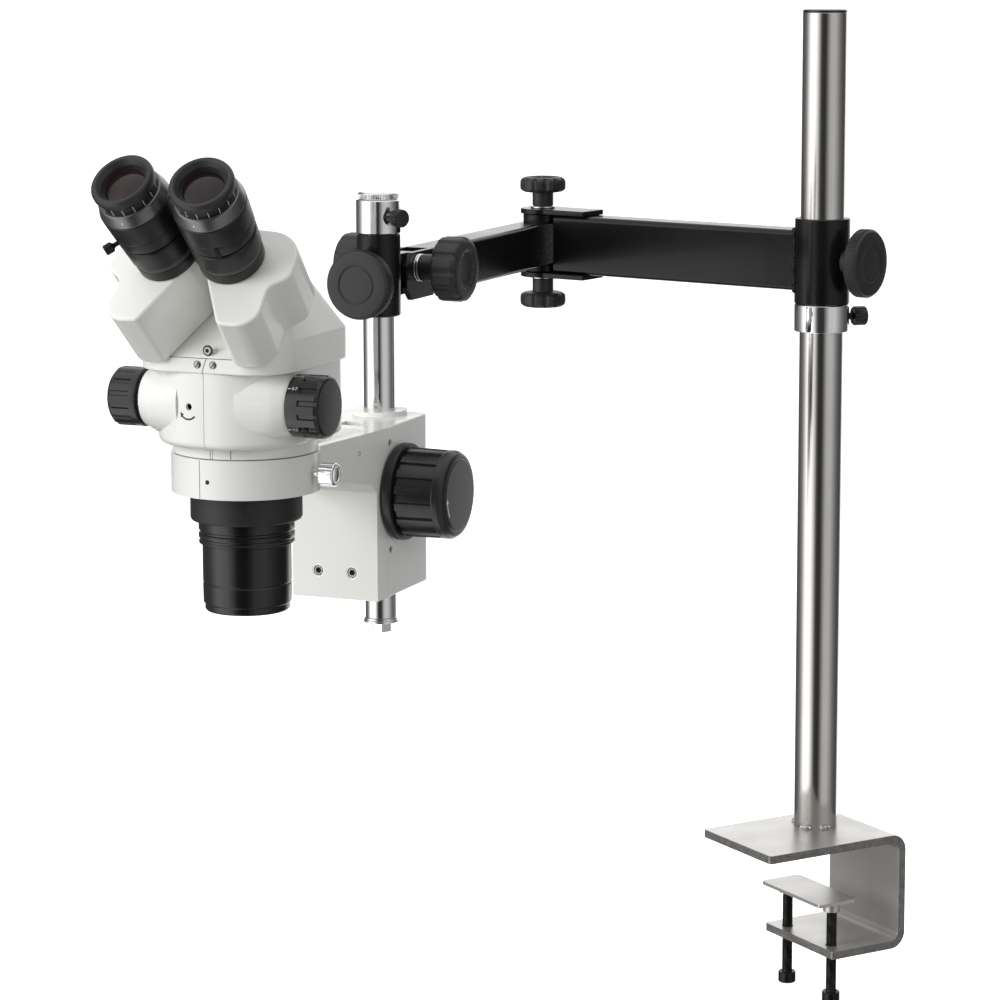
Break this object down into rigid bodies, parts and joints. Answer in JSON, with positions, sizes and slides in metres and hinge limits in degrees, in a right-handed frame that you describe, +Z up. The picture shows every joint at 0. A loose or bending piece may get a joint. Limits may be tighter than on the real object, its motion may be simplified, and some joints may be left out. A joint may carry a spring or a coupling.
{
  "type": "stereo microscope",
  "caption": "Binocular stereo zoom microscope on a rack-and-pinion focus arm, hung from a jointed swing arm on a tall post with a bench-edge clamp.",
  "frame": {"origin": "on the post's axis at the underside of the clamp's top plate, where it rests on the bench", "axes": "+Z up the post, +Y from the open mouth of the clamp towards its spine, +X to the right seen from the mouth"},
  "size_m": [0.4166, 0.6578, 0.723],
  "materials": {
    "clamp_steel": "satin ground steel plate, rough edges",
    "post_steel": "fine brushed tube, clear highlights",
    "chrome": "bright polished plate",
    "black_plastic": "moulded, fine grain",
    "black_gloss": "gloss black paint",
    "black_oxide": "oiled black oxide",
    "white_paint": "warm off-white gloss paint, soft bright edges",
    "charcoal": "satin charcoal",
    "objective_black": "anodised, smooth gloss",
    "steel_inner": "machined",
    "brass_inner": "machined",
    "lens_glass": "coated, deep red-brown reflections"
  },
  "bodies": {
    "stand": {"clamp_bracket": "clamp_steel", "post": "post_steel", "post_cap": "black_plastic"},
    "clamp_jaw": {"clamp_pad": "clamp_steel"},
    "clamp_screw_left": {"clamp_screw_left": "black_oxide"},
    "clamp_screw_right": {"clamp_screw_right": "black_oxide"},
    "post_collar": {"safety_collar": "chrome"},
    "safety_collar_screw": {"safety_collar_screw": "black_plastic"},
    "rear_arm": {"arm_sleeve": "black_gloss", "rear_arm_tube": "black_gloss", "elbow_lugs": "black_gloss", "elbow_bolt": "chrome"},
    "sleeve_lock_knob": {"sleeve_lock_knob": "charcoal"},
    "front_arm": {"elbow_barrel": "black_gloss", "front_arm_tube": "black_gloss", "fork_cheeks": "black_gloss", "tilt_bolt": "chrome"},
    "elbow_knob_top": {"elbow_knob_top": "charcoal"},
    "elbow_knob_bottom": {"elbow_knob_bottom": "charcoal"},
    "tilt_knob_right": {"tilt_knob_right": "charcoal"},
    "tilt_knob_left": {"tilt_knob_left": "charcoal"},
    "pillar_holder": {"pillar_sleeve": "black_gloss"},
    "pillar_lock_knob": {"pillar_lock_knob": "charcoal"},
    "pillar_collar": {"pillar_collar": "chrome"},
    "pillar_collar_screw": {"pillar_collar_screw": "black_plastic"},
    "pillar": {"pillar": "chrome", "pillar_cap": "chrome", "pillar_end_bolt": "chrome"},
    "focus_housing": {"focus_housing": "white_paint", "housing_screws": "black_oxide"},
    "housing_clamp_screw": {"housing_clamp_screw": "black_oxide"},
    "focus_slide": {"slide_plate": "steel_inner", "focus_rack": "brass_inner", "head_holder": "white_paint", "holder_screws": "black_oxide"},
    "focus_shaft": {"pinion_shaft": "steel_inner", "focus_knob_right": "charcoal", "focus_knob_left": "charcoal"},
    "tension_collar": {"tension_collar": "charcoal"},
    "ring_screw": {"ring_screw": "chrome"},
    "head": {"body_shell_left": "white_paint", "body_shell_right": "white_paint", "objective_barrel": "objective_black", "objective_lens": "lens_glass", "binocular_body": "white_paint"},
    "zoom_shaft": {"zoom_shaft": "steel_inner", "zoom_knob_right": "black_plastic", "zoom_knob_left": "black_plastic"},
    "zoom_upper": {"zoom_carriage_upper": "brass_inner"},
    "zoom_lower": {"zoom_carriage_lower": "brass_inner"},
    "prism_right": {"prism_housing_right": "white_paint", "prisms_right": "lens_glass", "eyetube_right": "charcoal"},
    "prism_left": {"prism_housing_left": "white_paint", "prisms_left": "lens_glass", "eyetube_left": "charcoal"},
    "eyepiece_right": {"eyepiece_right": "charcoal", "eye_lens_right": "lens_glass"},
    "eyepiece_left": {"eyepiece_left": "charcoal", "eye_lens_left": "lens_glass"}
  },
  "joints": [
    {"name": "clamp_jaw_travel", "type": "slide", "parent": "stand", "child": "clamp_jaw", "axis": [0, 0, 1], "range_m": [-0.024, 0.028]},
    {"name": "clamp_screw_left_turn", "type": "hinge", "parent": "clamp_jaw", "child": "clamp_screw_left", "pos_m": [-0.016, -0.013, -0.08], "axis": [0, 0, 1], "continuous": true},
    {"name": "clamp_screw_right_turn", "type": "hinge", "parent": "clamp_jaw", "child": "clamp_screw_right", "pos_m": [0.04, -0.013, -0.08], "axis": [0, 0, 1], "continuous": true},
    {"name": "post_height", "type": "slide", "parent": "stand", "child": "post_collar", "axis": [0, 0, 1], "range_m": [-0.33, 0.145]},
    {"name": "safety_screw_turn", "type": "hinge", "parent": "post_collar", "child": "safety_collar_screw", "pos_m": [0, 0, 0.3844], "axis": [0.2656, 0.9641, 0], "continuous": true},
    {"name": "rear_arm_swing", "type": "hinge", "parent": "post_collar", "child": "rear_arm", "pos_m": [0, 0, 0.4255], "axis": [0, 0, 1], "range_deg": [-180, 180]},
    {"name": "sleeve_lock_turn", "type": "hinge", "parent": "rear_arm", "child": "sleeve_lock_knob", "pos_m": [0, 0, 0.4255], "axis": [0.9092, 0.4163, 0], "continuous": true},
    {"name": "elbow_swing", "type": "hinge", "parent": "rear_arm", "child": "front_arm", "pos_m": [-0.22276, -0.10199, 0.4255], "axis": [0, 0, 1], "range_deg": [-200, 5]},
    {"name": "elbow_knob_top_turn", "type": "hinge", "parent": "rear_arm", "child": "elbow_knob_top", "pos_m": [-0.22276, -0.10199, 0.465], "axis": [0, 0, 1], "continuous": true},
    {"name": "elbow_knob_bottom_turn", "type": "hinge", "parent": "rear_arm", "child": "elbow_knob_bottom", "pos_m": [-0.22276, -0.10199, 0.386], "axis": [0, 0, 1], "continuous": true},
    {"name": "tilt_knob_right_turn", "type": "hinge", "parent": "front_arm", "child": "tilt_knob_right", "pos_m": [-0.05005, -0.28793, 0.431], "axis": [0.808, 0.5892, 0], "continuous": true},
    {"name": "tilt_knob_left_turn", "type": "hinge", "parent": "front_arm", "child": "tilt_knob_left", "pos_m": [-0.09529, -0.32092, 0.431], "axis": [0.808, 0.5892, 0], "continuous": true},
    {"name": "pillar_tilt", "type": "hinge", "parent": "front_arm", "child": "pillar_holder", "pos_m": [-0.07429, -0.3056, 0.431], "axis": [0.808, 0.5892, 0], "range_deg": [-30, 30]},
    {"name": "pillar_lock_turn", "type": "hinge", "parent": "pillar_holder", "child": "pillar_lock_knob", "pos_m": [-0.05307, -0.33469, 0.425], "axis": [0.5892, -0.808, 0], "continuous": true},
    {"name": "pillar_swing", "type": "hinge", "parent": "pillar_holder", "child": "pillar_collar", "pos_m": [-0.05307, -0.33469, 0.47], "axis": [0, 0, 1], "range_deg": [-145, 110]},
    {"name": "pillar_collar_screw_turn", "type": "hinge", "parent": "pillar_collar", "child": "pillar_collar_screw", "pos_m": [-0.05307, -0.33469, 0.4695], "axis": [0.99, 0.1409, 0], "continuous": true},
    {"name": "pillar_rise", "type": "slide", "parent": "pillar_collar", "child": "pillar", "axis": [0, 0, 1], "range_m": [0, 0.025]},
    {"name": "housing_height", "type": "slide", "parent": "pillar", "child": "focus_housing", "axis": [0, 0, 1], "range_m": [-0.02, 0.025]},
    {"name": "housing_clamp_screw_turn", "type": "hinge", "parent": "focus_housing", "child": "housing_clamp_screw", "pos_m": [-0.05307, -0.33469, 0.308], "axis": [-0.6088, 0.7934, 0], "continuous": true},
    {"name": "focus_travel", "type": "slide", "parent": "focus_housing", "child": "focus_slide", "axis": [0, 0, 1], "range_m": [-0.02, 0.02]},
    {"name": "focus_shaft_turn", "type": "hinge", "parent": "focus_housing", "child": "focus_shaft", "pos_m": [-0.02872, -0.36642, 0.287], "axis": [0.7934, 0.6088, 0], "range_deg": [-195, 195]},
    {"name": "tension_collar_turn", "type": "hinge", "parent": "focus_housing", "child": "tension_collar", "pos_m": [-0.02872, -0.36642, 0.287], "axis": [0.7934, 0.6088, 0], "range_deg": [-60, 60]},
    {"name": "ring_screw_turn", "type": "hinge", "parent": "focus_slide", "child": "ring_screw", "pos_m": [0.07233, -0.49812, 0.326], "axis": [0.7934, 0.6088, 0], "continuous": true},
    {"name": "head_swing", "type": "hinge", "parent": "focus_slide", "child": "head", "pos_m": [0.07233, -0.49812, 0.35], "axis": [0, 0, 1], "continuous": true},
    {"name": "zoom_turn", "type": "hinge", "parent": "head", "child": "zoom_shaft", "pos_m": [0.09059, -0.52192, 0.3735], "axis": [0.7934, 0.6088, 0], "range_deg": [0, 270]},
    {"name": "zoom_upper_travel", "type": "slide", "parent": "head", "child": "zoom_upper", "axis": [0, 0, 1], "range_m": [-0.008, 0]},
    {"name": "zoom_lower_travel", "type": "slide", "parent": "head", "child": "zoom_lower", "axis": [0, 0, 1], "range_m": [0, 0.008]},
    {"name": "prism_right_swing", "type": "hinge", "parent": "head", "child": "prism_right", "pos_m": [0.1222, -0.51294, 0.42], "axis": [0.4861, -0.516, 0.7053], "range_deg": [-20, 0]},
    {"name": "eyepiece_right_turn", "type": "hinge", "parent": "prism_right", "child": "eyepiece_right", "pos_m": [0.13875, -0.54567, 0.48716], "axis": [0.4861, -0.516, 0.7053], "range_deg": [-90, 90]},
    {"name": "prism_left_swing", "type": "hinge", "parent": "head", "child": "prism_left", "pos_m": [0.07374, -0.55013, 0.42], "axis": [0.3726, -0.6031, 0.7053], "range_deg": [0, 20]},
    {"name": "eyepiece_left_turn", "type": "hinge", "parent": "prism_left", "child": "eyepiece_left", "pos_m": [0.10107, -0.57458, 0.48716], "axis": [0.3726, -0.6031, 0.7053], "range_deg": [-90, 90]}
  ],
  "couplings": [
    {"joint": "focus_shaft_turn", "follows": "focus_travel", "rad_per_m": -158.73},
    {"joint": "zoom_upper_travel", "follows": "zoom_turn", "m_per_rad": -0.0015},
    {"joint": "zoom_lower_travel", "follows": "zoom_turn", "m_per_rad": 0.0015},
    {"joint": "prism_left_swing", "follows": "prism_right_swing", "ratio": -1}
  ]
}
